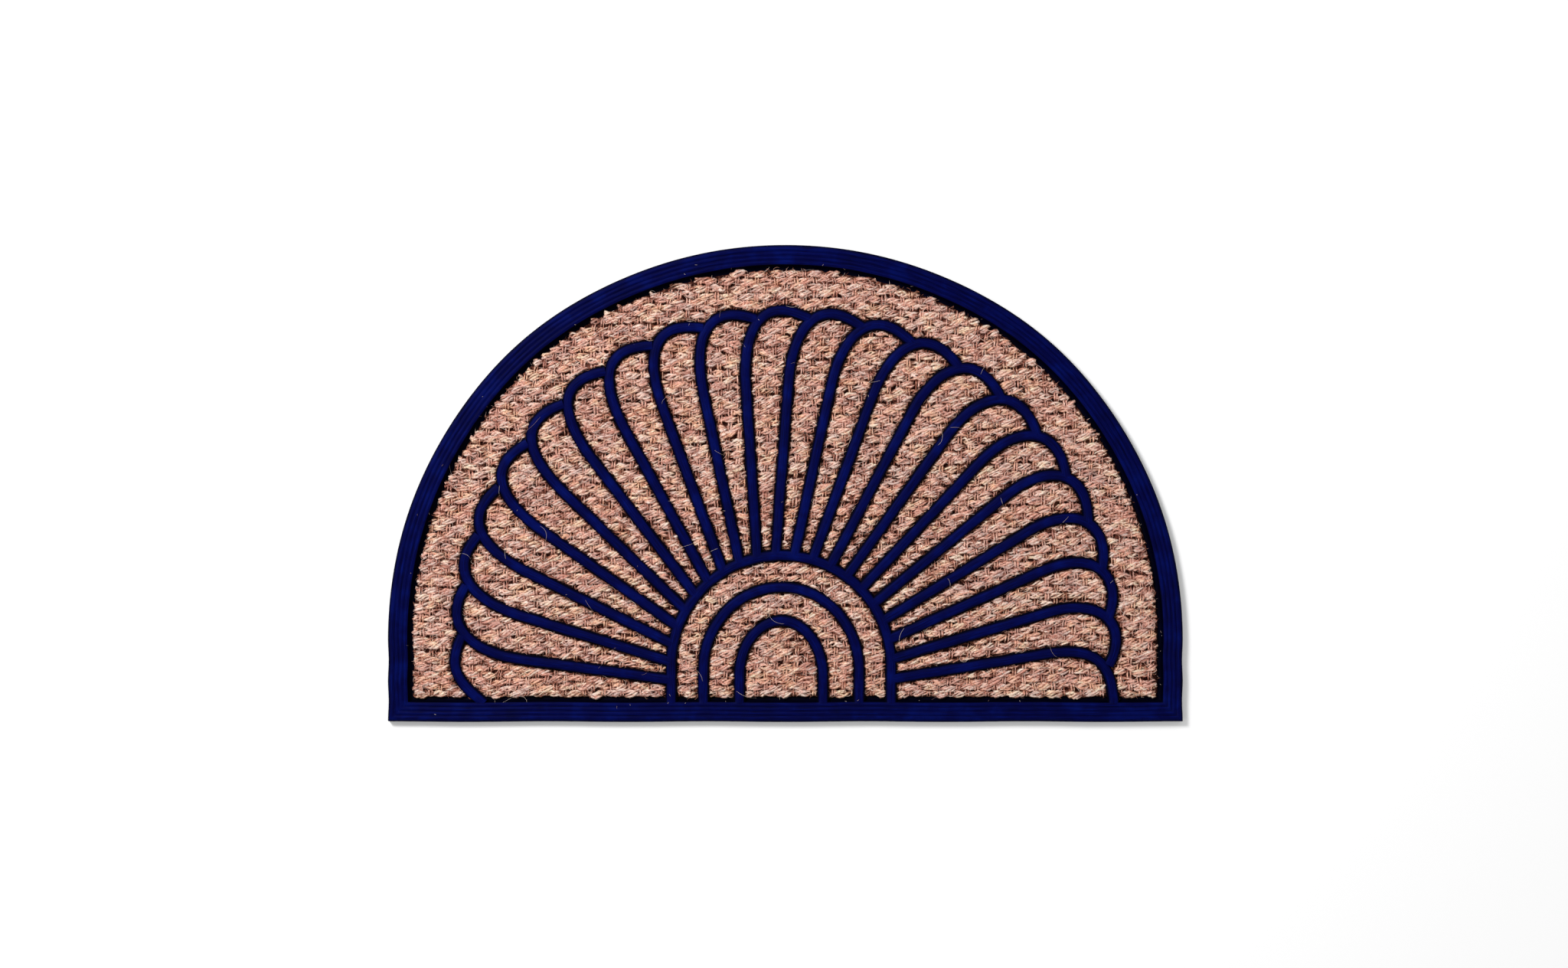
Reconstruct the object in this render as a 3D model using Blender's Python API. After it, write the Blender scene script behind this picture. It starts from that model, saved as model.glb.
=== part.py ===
"""Half round doormat: a woven coir mat held in a moulded rubber frame.

The rubber is one moulding: a thin backing, a fluted border and a raised network of
ribs. Three nested arches stand at the middle of the straight edge. A fan of spokes
leaves the outermost arch, and each spoke ends in a hook that curves round clockwise
and lands on the crown of the next spoke's hook. The coir lies on the backing, and
the ribs are pressed into channels in its face.

X runs to the right along the straight edge, Y from that edge to the crown of the
half round, and Z up. The origin is at the middle of the mat, on the floor.
Lengths are in metres and angles in degrees.
"""

import math
from typing import NamedTuple

import bmesh
import bpy
from mathutils import Vector

# Overall size. Plan coordinates below are measured from the middle of the straight edge.
WIDTH = 0.762
DEPTH = 0.4572
SIDE_HEIGHT = 0.079
CORNER_CHAMFER = 0.001

# Heights above the floor.
BACKING_TOP = 0.0020
COIR_TOP = 0.0080
RIB_FOOT = 0.0053
RIB_TOP = 0.0099
FLUTE_VALLEY = 0.0092
FLUTE_CREST = 0.0100

# The border, measured inwards from the mat's edge.
EDGE_ROUND = 0.0015
FLUTE_START = 0.0022
FLUTE_PITCH = 0.0042
FLUTE_COUNT = 4
FLUTE_CREST_START = 0.3
FLUTE_CREST_END = 0.7
BORDER_WIDTH = 0.0220
RIB_END_INSET = 0.0178

# The half round is a little fuller than an ellipse, and every edge wanders slightly.
ARC_FULLNESS = 0.0020
ARC_WANDER = 0.0006
ARC_WAVES = 9
SIDE_WANDER = 0.0007
BOTTOM_WANDER = 0.0006
BOTTOM_WAVES = 5

# The coir, clear of the rubber on every side.
GAP = 0.0003
COIR_EDGE_ROUND = 0.0012

# How finely curves are cut up.
ARC_STEPS = 56
SIDE_STEPS = 4
BOTTOM_STEPS = 24
HOOK_STEPS = 13
ARCH_STEP_LENGTH = 0.009


class Arch(NamedTuple):
    """Two upright legs with half an ellipse on top, standing on the straight edge."""

    middle: float
    half_width: float
    leg: float
    rise: float

    def crown(self, angle: float) -> Vector:
        """The point of the half ellipse at an angle counted from the right leg."""
        turn = math.radians(angle)
        x = self.middle + self.half_width * math.cos(turn)
        return Vector((x, self.leg + self.rise * math.sin(turn)))

    def seen_from_hub(self, bearing: float) -> Vector:
        """The point of the arch on the ray that leaves the hub at this bearing."""
        way = heading(bearing)
        side = self.middle + math.copysign(self.half_width, way.x)
        if abs(way.x) > 1e-6:
            on_leg = HUB + way * ((side - HUB.x) / way.x)
            if on_leg.y <= self.leg:
                return on_leg
        start = Vector(((HUB.x - self.middle) / self.half_width, (HUB.y - self.leg) / self.rise))
        step = Vector((way.x / self.half_width, way.y / self.rise))
        half_b = start.dot(step)
        reach = (start.length_squared - 1) * step.length_squared
        return HUB + way * ((math.sqrt(half_b**2 - reach) - half_b) / step.length_squared)


# The fan. Spoke 0 is the lowest on the right, and a bearing is its angle at the hub.
HUB = Vector((0.0, 0.042))
SPOKES = 21
ARCHES = (
    Arch(middle=-0.004, half_width=0.0400, leg=0.045, rise=0.0520),
    Arch(middle=-0.004, half_width=0.0747, leg=0.050, rise=0.0792),
    Arch(middle=-0.004, half_width=0.1054, leg=0.055, rise=0.1047),
)
KNEE_GUIDE = Arch(middle=0.0, half_width=0.2520, leg=0.0850, rise=0.2400)
LANDING_GUIDE = Arch(middle=0.0, half_width=0.3099, leg=0.0845, rise=0.3028)

# Bearings along the fan, as polynomials in the spoke's number, lowest power first.
FOOT_BEARING = (-0.474, 10.769, -0.168, 0.00414)
KNEE_BEARING = (5.328, 8.772, -0.061, 0.00245)
LANDING_BEARING = (2.268, 8.266, 0.0123)

# A hook leaves its knee straight on and leans in on the rib where it lands.
KNEE_PULL = 0.0599
KNEE_PULL_AT_TOP = -0.0034
LANDING_PULL = 0.0377
LANDING_PULL_AT_TOP = 0.0132
LANDING_LEAN = 57.4
LANDING_LEAN_GROWTH = 15.5

# The first hook runs down into the border, and a short one rises from it on the left.
FIRST_HOOK_FOOT = Vector((0.3146, 0.022))
FIRST_HOOK_PULL = Vector((-0.0028, 0.0183))
SHORT_HOOK_FOOT = Vector((-0.292, 0.0205))
SHORT_HOOK_LEAN = 0.003
SHORT_HOOK_PULL = Vector((-0.0150, 0.0132))
SHORT_HOOK_LANDING_PULL = Vector((-0.018, -0.034))


class SectionPoint(NamedTuple):
    """One corner of a rib's right half, from its foot to its rounded top."""

    offset: float
    height: float


RIB_SECTION = (
    SectionPoint(0.0052, RIB_FOOT),
    SectionPoint(0.0050, 0.0080),
    SectionPoint(0.0040, 0.0093),
    SectionPoint(0.0024, RIB_TOP),
)
CHANNEL_SECTION = (
    SectionPoint(RIB_SECTION[0].offset + GAP, RIB_FOOT - GAP),
    SectionPoint(RIB_SECTION[0].offset + GAP, COIR_TOP + 0.002),
)


def heading(bearing: float) -> Vector:
    """The unit vector in plan at this bearing."""
    return Vector((math.cos(math.radians(bearing)), math.sin(math.radians(bearing))))


def bearing_of(terms: tuple[float, ...], number: float) -> float:
    """The polynomial with these terms, for a spoke's number."""
    return sum(term * number**power for power, term in enumerate(terms))


def edge_outline(inset: float) -> list[Vector]:
    """The mat's edge, or a line at this distance inside it, as a closed ring in plan."""
    return right_side(inset) + half_round(inset) + left_side(inset) + straight_edge(inset)


def half_round(inset: float) -> list[Vector]:
    """The curved part of the outline, from right to left."""
    half_width, rise = WIDTH / 2, DEPTH - SIDE_HEIGHT
    points = []
    for step in range(ARC_STEPS + 1):
        turn = math.pi * step / ARC_STEPS
        wander = ARC_FULLNESS + ARC_WANDER * math.sin(ARC_WAVES * turn)
        wander *= math.sin(2 * turn) ** 2
        outward = Vector((rise * math.cos(turn), half_width * math.sin(turn))).normalized()
        on_ellipse = Vector((half_width * math.cos(turn), SIDE_HEIGHT + rise * math.sin(turn)))
        points.append(on_ellipse + outward * (wander - inset))
    return points


def side_wander(y: float) -> float:
    """How far a straight side bows inwards at this distance from the straight edge."""
    return SIDE_WANDER * math.sin(2 * math.pi * y / SIDE_HEIGHT) ** 2


def right_side(inset: float) -> list[Vector]:
    """The straight side on the right, from above its corner to the half round."""
    first = inset + CORNER_CHAMFER
    ys = [first + (SIDE_HEIGHT - first) * step / SIDE_STEPS for step in range(SIDE_STEPS)]
    return [Vector((WIDTH / 2 - inset - side_wander(y), y)) for y in ys]


def left_side(inset: float) -> list[Vector]:
    """The straight side on the left, from the half round down to its corner."""
    return [Vector((-point.x, point.y)) for point in reversed(right_side(inset))]


def straight_edge(inset: float) -> list[Vector]:
    """The long straight edge, from left to right, with a slow wave."""
    end = WIDTH / 2 - inset - CORNER_CHAMFER
    points = []
    for step in range(BOTTOM_STEPS + 1):
        x = end * (2 * step / BOTTOM_STEPS - 1)
        wave = BOTTOM_WANDER * math.sin(BOTTOM_WAVES * math.pi * x / WIDTH) ** 2
        points.append(Vector((x, inset + wave)))
    return points


def cubic(start: Vector, pull: Vector, landing_pull: Vector, end: Vector) -> list[Vector]:
    """Points of a cubic curve, given its ends and how each end pulls it."""
    points = []
    for step in range(HOOK_STEPS + 1):
        t = step / HOOK_STEPS
        near = (1 - t) ** 3 * start + 3 * t * (1 - t) ** 2 * (start + pull)
        far = 3 * t**2 * (1 - t) * (end + landing_pull) + t**3 * end
        points.append(near + far)
    return points


def landing(number: int) -> Vector:
    """Where the hook after this spoke's hook lands on it."""
    return LANDING_GUIDE.seen_from_hub(bearing_of(LANDING_BEARING, number))


def spoke(number: int) -> list[Vector]:
    """The centreline of a spoke and its hook, from the outermost arch to its landing."""
    foot = ARCHES[-1].seen_from_hub(bearing_of(FOOT_BEARING, number))
    knee = KNEE_GUIDE.seen_from_hub(bearing_of(KNEE_BEARING, number))
    share = number / (SPOKES - 1)
    top = 4 * share * (1 - share)
    pull = (knee - foot).normalized() * (KNEE_PULL + KNEE_PULL_AT_TOP * top)
    if number == 0:
        hook = cubic(knee, pull, FIRST_HOOK_PULL, FIRST_HOOK_FOOT)
        return [foot, *hook, Vector((FIRST_HOOK_FOOT.x, RIB_END_INSET))]
    end = landing(number - 1)
    out = math.degrees(math.atan2(end.y - HUB.y, end.x - HUB.x))
    lean = heading(out + LANDING_LEAN + LANDING_LEAN_GROWTH * share)
    return [foot, *cubic(knee, pull, lean * (LANDING_PULL + LANDING_PULL_AT_TOP * top), end)]


def short_hook() -> list[Vector]:
    """The centreline of the last hook, which rises from the border on the left."""
    end = landing(SPOKES - 1)
    rise = cubic(SHORT_HOOK_FOOT, SHORT_HOOK_PULL, SHORT_HOOK_LANDING_PULL, end)
    return [Vector((SHORT_HOOK_FOOT.x + SHORT_HOOK_LEAN, RIB_END_INSET)), *rise]


def arch_line(arch: Arch) -> list[Vector]:
    """The centreline of an arch, from the border up and round to the border again."""
    steps = round(math.pi * (arch.half_width + arch.rise) / 2 / ARCH_STEP_LENGTH)
    crown = [arch.crown(180 * step / steps) for step in range(steps + 1)]
    return [
        Vector((arch.middle + arch.half_width, RIB_END_INSET)),
        *crown,
        Vector((arch.middle - arch.half_width, RIB_END_INSET)),
    ]


def rib_lines() -> list[list[Vector]]:
    """The centreline of every rib."""
    spokes = [spoke(number) for number in range(SPOKES)]
    return [*map(arch_line, ARCHES), *spokes, short_hook()]


def in_frame(point: Vector, height: float) -> Vector:
    """A plan point at a height, with the origin moved to the middle of the mat."""
    return Vector((point.x, point.y - DEPTH / 2, height))


def swept_rings(line: list[Vector], section: tuple[SectionPoint, ...]) -> list[list[Vector]]:
    """A rib's section at each point of its centreline, square to the way the line runs."""
    rings = []
    for index, point in enumerate(line):
        before, after = line[max(index - 1, 0)], line[min(index + 1, len(line) - 1)]
        way = (after - before).normalized()
        right = Vector((way.y, -way.x))
        half = [(corner.offset, corner.height) for corner in section]
        other_half = [(-offset, height) for offset, height in reversed(half)]
        rings.append([in_frame(point + right * o, height) for o, height in half + other_half])
    return rings


def border_rings() -> list[list[Vector]]:
    """The moulding's outline from its underside, over the flutes, to the pocket's floor."""
    steps = [(EDGE_ROUND, 0.0), (0.0, EDGE_ROUND), (0.0, FLUTE_CREST - 2 * EDGE_ROUND)]
    for flute in range(FLUTE_COUNT):
        start = FLUTE_START + flute * FLUTE_PITCH
        steps += [
            (start, FLUTE_VALLEY),
            (start + FLUTE_PITCH * FLUTE_CREST_START, FLUTE_CREST),
            (start + FLUTE_PITCH * FLUTE_CREST_END, FLUTE_CREST),
        ]
    inner_top = FLUTE_START + FLUTE_COUNT * FLUTE_PITCH
    steps += [(inner_top, FLUTE_VALLEY), (BORDER_WIDTH, BACKING_TOP)]
    return [[in_frame(p, height) for p in edge_outline(inset)] for inset, height in steps]


def coir_rings() -> list[list[Vector]]:
    """The coir slab's outline from its underside to its face, with eased edges."""
    edge = BORDER_WIDTH + 2 * GAP
    steps = [
        (edge + COIR_EDGE_ROUND, BACKING_TOP + GAP),
        (edge, BACKING_TOP + GAP + COIR_EDGE_ROUND),
        (edge, COIR_TOP - COIR_EDGE_ROUND),
        (edge + COIR_EDGE_ROUND, COIR_TOP),
    ]
    return [[in_frame(p, height) for p in edge_outline(inset)] for inset, height in steps]


def loft(name: str, rings: list[list[Vector]], collection: bpy.types.Collection):
    """A closed solid that runs through the rings in turn, with flat ends."""
    shape = bmesh.new()
    face = shape.faces.new([shape.verts.new(point) for point in rings[0]])
    for ring in rings[1:]:
        face = bmesh.ops.extrude_discrete_faces(shape, faces=[face])["faces"][0]
        for vertex, point in zip(face.verts, ring):
            vertex.co = point
    open_edges = [edge for edge in shape.edges if edge.is_boundary]
    bmesh.ops.holes_fill(shape, edges=open_edges, sides=0)
    bmesh.ops.recalc_face_normals(shape, faces=shape.faces)
    mesh = bpy.data.meshes.new(name)
    shape.to_mesh(mesh)
    shape.free()
    solid = bpy.data.objects.new(name, mesh)
    collection.objects.link(solid)
    return solid


def rib_collection(name: str, section: tuple[SectionPoint, ...]) -> bpy.types.Collection:
    """Every rib with this section, as guides for a Boolean."""
    group = bpy.data.collections.new(name)
    bpy.context.scene.collection.children.link(group)
    for number, line in enumerate(rib_lines()):
        guide = loft(f"{name}_{number:02d}", swept_rings(line, section), group)
        guide.hide_render = True
        guide.display_type = "WIRE"
    return group


def combine(solid, group: bpy.types.Collection, operation: str) -> None:
    """Adds a group of solids to a solid, or cuts it with them."""
    boolean = solid.modifiers.new(operation.title(), "BOOLEAN")
    boolean.operation = operation
    boolean.operand_type = "COLLECTION"
    boolean.collection = group
    boolean.solver = "EXACT"


def finish(solid, colour: tuple[float, float, float], roughness: float) -> None:
    """Gives a solid its own plain material and smooth shading between sharp edges."""
    material = bpy.data.materials.new(solid.name)
    material.use_nodes = True
    surface = material.node_tree.nodes["Principled BSDF"]
    surface.inputs["Base Color"].default_value = (*colour, 1.0)
    surface.inputs["Roughness"].default_value = roughness
    surface.inputs["Metallic"].default_value = 0.0
    solid.data.materials.append(material)
    solid.data.shade_smooth()
    solid.data.set_sharp_from_angle(angle=math.radians(35))


def rubber_moulding() -> None:
    """The backing, the fluted border and the ribs, as one moulding."""
    moulding = loft("rubber_moulding", border_rings(), bpy.context.scene.collection)
    combine(moulding, rib_collection("rib", RIB_SECTION), "UNION")
    finish(moulding, colour=(0.003, 0.006, 0.085), roughness=0.55)


def coir_mat() -> None:
    """The woven coir, one slab with a channel under every rib."""
    mat = loft("coir_mat", coir_rings(), bpy.context.scene.collection)
    combine(mat, rib_collection("channel", CHANNEL_SECTION), "DIFFERENCE")
    finish(mat, colour=(0.62, 0.34, 0.22), roughness=0.95)


def main() -> None:
    """Clears the scene and models the doormat."""
    for leftover in list(bpy.data.objects):
        bpy.data.objects.remove(leftover)
    rubber_moulding()
    coir_mat()


if __name__ == "__main__":
    main()
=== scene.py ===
"""The looks of a half round doormat: woven coir under a moulded navy rubber sunburst.

The rubber is one moulding with a fluted border and a fan of raised ribs. The coir is a
plain weave of thick weft yarns over thin warp pairs, pressed down under every rib, with
loose fibres over it. Lengths are in metres in the frame's own axes: X runs along the
straight edge, Y from that edge to the crown of the half round, and Z up from the floor.
"""

from __future__ import annotations

import logging
import math
from dataclasses import dataclass, field
from enum import Enum

import bmesh
import bpy
import numpy as np
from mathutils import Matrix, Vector, noise
from mathutils.bvhtree import BVHTree

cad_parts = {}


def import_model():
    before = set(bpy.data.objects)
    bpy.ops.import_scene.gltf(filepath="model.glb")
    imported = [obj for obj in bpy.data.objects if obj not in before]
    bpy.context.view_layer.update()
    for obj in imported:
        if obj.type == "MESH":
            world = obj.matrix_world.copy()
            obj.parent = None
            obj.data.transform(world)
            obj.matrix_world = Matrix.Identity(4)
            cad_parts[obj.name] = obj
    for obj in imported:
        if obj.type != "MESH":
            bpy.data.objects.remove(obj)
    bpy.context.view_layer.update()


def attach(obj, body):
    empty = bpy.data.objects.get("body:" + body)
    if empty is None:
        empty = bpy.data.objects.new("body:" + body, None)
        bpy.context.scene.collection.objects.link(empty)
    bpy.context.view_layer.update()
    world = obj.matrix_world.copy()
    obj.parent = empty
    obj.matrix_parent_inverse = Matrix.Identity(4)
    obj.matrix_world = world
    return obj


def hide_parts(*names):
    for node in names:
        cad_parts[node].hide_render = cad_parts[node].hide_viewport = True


LOG = logging.getLogger("doormat")

Triple = tuple[float, float, float]
Stops = tuple[tuple[float, Triple], ...]
Socket = bpy.types.NodeSocket


@dataclass(frozen=True)
class Arch:
    """Two upright legs with half an ellipse on top, in plan, standing on the straight edge."""

    middle: float
    half_width: float
    leg: float
    rise: float

    def crown(self, angle: float) -> np.ndarray:
        """The point of the half ellipse at an angle in degrees from the right leg.

        Args:
            angle: Degrees round from the right leg.

        Returns:
            The point in plan.
        """
        turn = math.radians(angle)
        x = self.middle + self.half_width * math.cos(turn)
        return np.array((x, self.leg + self.rise * math.sin(turn)))

    def seen_from(self, hub: np.ndarray, bearing: float) -> np.ndarray:
        """The point of the arch on the ray that leaves the hub at this bearing.

        Args:
            hub: Where the ray starts, inside the arch.
            bearing: The ray's angle in degrees from +X.

        Returns:
            The plan point where the ray meets a leg or the half ellipse.
        """
        way = heading(bearing)
        side = self.middle + math.copysign(self.half_width, way[0])
        if abs(way[0]) > 1e-6:
            on_leg = hub + way * ((side - hub[0]) / way[0])
            if on_leg[1] <= self.leg:
                return on_leg
        size = np.array((self.half_width, self.rise))
        start = (hub - np.array((self.middle, self.leg))) / size
        step = way / size
        half_b, square = start @ step, step @ step
        root = math.sqrt(half_b**2 - (start @ start - 1) * square)
        return hub + way * ((root - half_b) / square)


def heading(bearing: float) -> np.ndarray:
    """The unit vector in plan at this bearing, in degrees."""
    return np.array((math.cos(math.radians(bearing)), math.sin(math.radians(bearing))))


def polynomial(terms: tuple[float, ...], number: float) -> float:
    """The polynomial with these terms, lowest power first."""
    return sum(term * number**power for power, term in enumerate(terms))


def smooth_step(low: float, high: float, value: np.ndarray) -> np.ndarray:
    """0 below low, 1 above high and a smooth rise between them."""
    share = np.clip((value - low) / (high - low), 0.0, 1.0)
    return share * share * (3 - 2 * share)


def travelled(line: np.ndarray) -> np.ndarray:
    """How far along a polyline each of its points is."""
    gaps = np.linalg.norm(np.diff(line, axis=0), axis=1)
    return np.concatenate([[0.0], np.cumsum(gaps)])


def show(name: str, data: bpy.types.ID) -> bpy.types.Object:
    """Puts a new object with this mesh, curve, lamp or camera into the scene.

    Args:
        name: The object's name.
        data: What the object shows.

    Returns:
        The new object.
    """
    item = bpy.data.objects.new(name, data)
    bpy.context.scene.collection.objects.link(item)
    return item


def mesh_object(name: str, shape: bmesh.types.BMesh) -> bpy.types.Object:
    """Turns an edited shape into a new object and frees the shape.

    Args:
        name: The name of the object and of its mesh.
        shape: The shape, which can't be used afterwards.

    Returns:
        The new object.
    """
    mesh = bpy.data.meshes.new(name)
    shape.to_mesh(mesh)
    shape.free()
    return show(name, mesh)


def nearest_distance(points: np.ndarray, lines: list[np.ndarray]) -> np.ndarray:
    """How far each plan point is from the nearest of some polylines.

    Args:
        points: Plan points, one a row.
        lines: Polylines, each an array of plan points.

    Returns:
        One distance for each point.
    """
    starts = np.concatenate([line[:-1] for line in lines]).astype(np.float32)
    runs = np.concatenate([np.diff(line, axis=0) for line in lines]).astype(np.float32)
    squares = np.maximum((runs**2).sum(1), 1e-12)
    found = np.empty(len(points), np.float32)
    chunk = 4000
    for first in range(0, len(points), chunk):
        gap_x = points[first : first + chunk, :1].astype(np.float32) - starts[:, 0]
        gap_y = points[first : first + chunk, 1:2].astype(np.float32) - starts[:, 1]
        share = np.clip((gap_x * runs[:, 0] + gap_y * runs[:, 1]) / squares, 0.0, 1.0)
        gap_x -= share * runs[:, 0]
        gap_y -= share * runs[:, 1]
        found[first : first + chunk] = np.sqrt((gap_x**2 + gap_y**2).min(axis=1))
    return found


@dataclass
class EdgePlan:
    """The outline of the mat in plan, and every line parallel to it."""

    width: float = 0.762
    depth: float = 0.4572
    side_height: float = 0.079
    corner_chamfer: float = 0.001
    arc_fullness: float = 0.0020
    arc_wander: float = 0.0006
    arc_waves: int = 9
    side_wander: float = 0.0007
    bottom_wander: float = 0.0006
    bottom_waves: int = 5
    arc_steps: int = 150
    side_steps: int = 12
    bottom_steps: int = 96

    def ring(self, inset: float) -> np.ndarray:
        """The closed line at this distance inside the edge, from the lower right corner up.

        Args:
            inset: How far inside the mat's edge the line runs.

        Returns:
            Its plan points, one a row.
        """
        right = self._right_side(inset)
        left = right[::-1] * (-1, 1)
        whole = np.concatenate([right, self._half_round(inset), left, self._bottom(inset)])
        return whole - (0, self.depth / 2)

    def _half_round(self, inset: float) -> np.ndarray:
        """The curved part, from right to left.

        Args:
            inset: How far inside the edge it runs.

        Returns:
            Its plan points, one a row.
        """
        turn = np.linspace(0, math.pi, self.arc_steps + 1)[:, None]
        half_width, rise = self.width / 2, self.depth - self.side_height
        wander = self.arc_fullness + self.arc_wander * np.sin(self.arc_waves * turn)
        wander = wander * np.sin(2 * turn) ** 2
        outward = np.hstack([rise * np.cos(turn), half_width * np.sin(turn)])
        outward /= np.linalg.norm(outward, axis=1, keepdims=True)
        curve = np.hstack([half_width * np.cos(turn), self.side_height + rise * np.sin(turn)])
        return curve + outward * (wander - inset)

    def _right_side(self, inset: float) -> np.ndarray:
        """The straight side on the right, bowing inwards a little.

        Args:
            inset: How far inside the edge it runs.

        Returns:
            Its plan points, from the corner up.
        """
        first = inset + self.corner_chamfer
        y = np.linspace(first, self.side_height, self.side_steps, endpoint=False)
        bow = self.side_wander * np.sin(2 * math.pi * y / self.side_height) ** 2
        return np.stack([self.width / 2 - inset - bow, y], axis=1)

    def _bottom(self, inset: float) -> np.ndarray:
        """The long straight edge, from left to right.

        Args:
            inset: How far inside the edge it runs.

        Returns:
            Its plan points, one a row.
        """
        end = self.width / 2 - inset - self.corner_chamfer
        x = np.linspace(-end, end, self.bottom_steps + 1)
        wave = self.bottom_wander * np.sin(self.bottom_waves * math.pi * x / self.width) ** 2
        return np.stack([x, inset + wave], axis=1)

    def closed_ring(self, inset: float) -> np.ndarray:
        """The ring with its first point repeated at its end."""
        ring = self.ring(inset)
        return np.vstack([ring, ring[:1]])

    def inset_of(self, points: np.ndarray) -> np.ndarray:
        """How far inside the mat's edge each plan point is, negative outside it.

        Args:
            points: Plan points, one a row.

        Returns:
            One distance for each point.
        """
        ring = self.closed_ring(0.0)
        distance = nearest_distance(points, [ring])
        start, end = ring[:-1], ring[1:]
        inside = np.zeros(len(points), bool)
        for (ax, ay), (bx, by) in zip(start, end):
            crosses = (ay > points[:, 1]) != (by > points[:, 1])
            if ay != by:
                at = ax + (points[:, 1] - ay) * (bx - ax) / (by - ay)
                inside ^= crosses & (points[:, 0] < at)
        return np.where(inside, distance, -distance)

    def span_along(self, axis: int, place: float, inset: float) -> tuple[float, float] | None:
        """Where a straight line across the mat enters and leaves the ring at an inset.

        Args:
            axis: 0 for a line along X at a height y, 1 for a line along Y at an x.
            place: That y or x.
            inset: The ring's distance inside the edge.

        Returns:
            The lowest and highest coordinate along the line, or None where it misses.
        """
        ring = self.closed_ring(inset)
        across, along = ring[:, 1 - axis], ring[:, axis]
        hits = np.nonzero((across[:-1] > place) != (across[1:] > place))[0]
        if len(hits) < 2:
            return None
        share = (place - across[hits]) / (across[hits + 1] - across[hits])
        found = along[hits] + share * (along[hits + 1] - along[hits])
        return float(found.min()), float(found.max())


@dataclass
class FanPlan:
    """The centrelines of the arches, the spokes and their hooks, in plan."""

    depth: float = 0.4572
    hub: tuple[float, float] = (0.0, 0.042)
    spokes: int = 21
    arches: tuple[Arch, ...] = (
        Arch(middle=-0.004, half_width=0.0400, leg=0.045, rise=0.0520),
        Arch(middle=-0.004, half_width=0.0747, leg=0.050, rise=0.0792),
        Arch(middle=-0.004, half_width=0.1054, leg=0.055, rise=0.1047),
    )
    knee_guide: Arch = Arch(middle=0.0, half_width=0.2520, leg=0.0850, rise=0.2400)
    landing_guide: Arch = Arch(middle=0.0, half_width=0.3099, leg=0.0845, rise=0.3028)
    foot_bearing: tuple[float, ...] = (-0.474, 10.769, -0.168, 0.00414)
    knee_bearing: tuple[float, ...] = (5.328, 8.772, -0.061, 0.00245)
    landing_bearing: tuple[float, ...] = (2.268, 8.266, 0.0123)
    knee_pull: float = 0.0599
    knee_pull_at_top: float = -0.0034
    landing_pull: float = 0.0377
    landing_pull_at_top: float = 0.0132
    landing_lean: float = 57.4
    landing_lean_growth: float = 15.5
    first_hook_foot: tuple[float, float] = (0.3146, 0.022)
    first_hook_pull: tuple[float, float] = (-0.0028, 0.0183)
    short_hook_foot: tuple[float, float] = (-0.292, 0.0205)
    short_hook_lean: float = 0.003
    short_hook_pull: tuple[float, float] = (-0.0150, 0.0132)
    short_hook_landing_pull: tuple[float, float] = (-0.018, -0.034)
    end_inset: float = 0.0178
    hook_steps: int = 30
    straight_steps: int = 10
    step_length: float = 0.004

    def lines(self) -> list[np.ndarray]:
        """The centreline of every rib, in the frame's plan.

        Returns:
            The arches, the spokes in order and the short hook.
        """
        runs = [self._arch_line(arch) for arch in self.arches]
        runs += [self._spoke(number) for number in range(self.spokes)]
        runs.append(self._short_hook())
        return [run - (0, self.depth / 2) for run in runs]

    def _cubic(
        self, start: np.ndarray, pull: np.ndarray, landing_pull: np.ndarray, end: np.ndarray
    ) -> np.ndarray:
        """Points of a cubic curve, given its ends and how each end pulls it.

        Args:
            start: Where the curve starts.
            pull: How far its second control point is from the start.
            landing_pull: How far its third one is from the end.
            end: Where it ends.

        Returns:
            Plan points along the curve, one a row.
        """
        t = np.linspace(0, 1, self.hook_steps + 1)[:, None]
        start, end = np.asarray(start), np.asarray(end)
        near = (1 - t) ** 3 * start + 3 * t * (1 - t) ** 2 * (start + pull)
        return near + 3 * t**2 * (1 - t) * (end + landing_pull) + t**3 * end

    def _landing(self, number: int) -> np.ndarray:
        """Where the hook after this spoke's hook lands on it."""
        bearing = polynomial(self.landing_bearing, number)
        return self.landing_guide.seen_from(np.array(self.hub), bearing)

    def _spoke(self, number: int) -> np.ndarray:
        """The centreline of a spoke and its hook, from the outermost arch on.

        Args:
            number: The spoke, counted from the lower right.

        Returns:
            Its plan points, from its foot to where its hook lands.
        """
        hub = np.array(self.hub)
        foot = self.arches[-1].seen_from(hub, polynomial(self.foot_bearing, number))
        knee = self.knee_guide.seen_from(hub, polynomial(self.knee_bearing, number))
        share = number / (self.spokes - 1)
        top = 4 * share * (1 - share)
        pull = (knee - foot) / np.linalg.norm(knee - foot)
        pull = pull * (self.knee_pull + self.knee_pull_at_top * top)
        steps = np.linspace(0, 1, self.straight_steps, endpoint=False)[:, None]
        straight = foot + (knee - foot) * steps
        if number == 0:
            hook = self._cubic(knee, pull, self.first_hook_pull, self.first_hook_foot)
            return np.vstack([straight, hook, [self.first_hook_foot[0], self.end_inset]])
        end = self._landing(number - 1)
        out = math.degrees(math.atan2(end[1] - hub[1], end[0] - hub[0]))
        lean = heading(out + self.landing_lean + self.landing_lean_growth * share)
        lean = lean * (self.landing_pull + self.landing_pull_at_top * top)
        return np.vstack([straight, self._cubic(knee, pull, lean, end)])

    def _short_hook(self) -> np.ndarray:
        """The centreline of the last hook, which rises from the border on the left.

        Returns:
            Its plan points, from the border up.
        """
        rise = self._cubic(
            self.short_hook_foot,
            self.short_hook_pull,
            self.short_hook_landing_pull,
            self._landing(self.spokes - 1),
        )
        start = (self.short_hook_foot[0] + self.short_hook_lean, self.end_inset)
        return np.vstack([start, rise])

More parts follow.
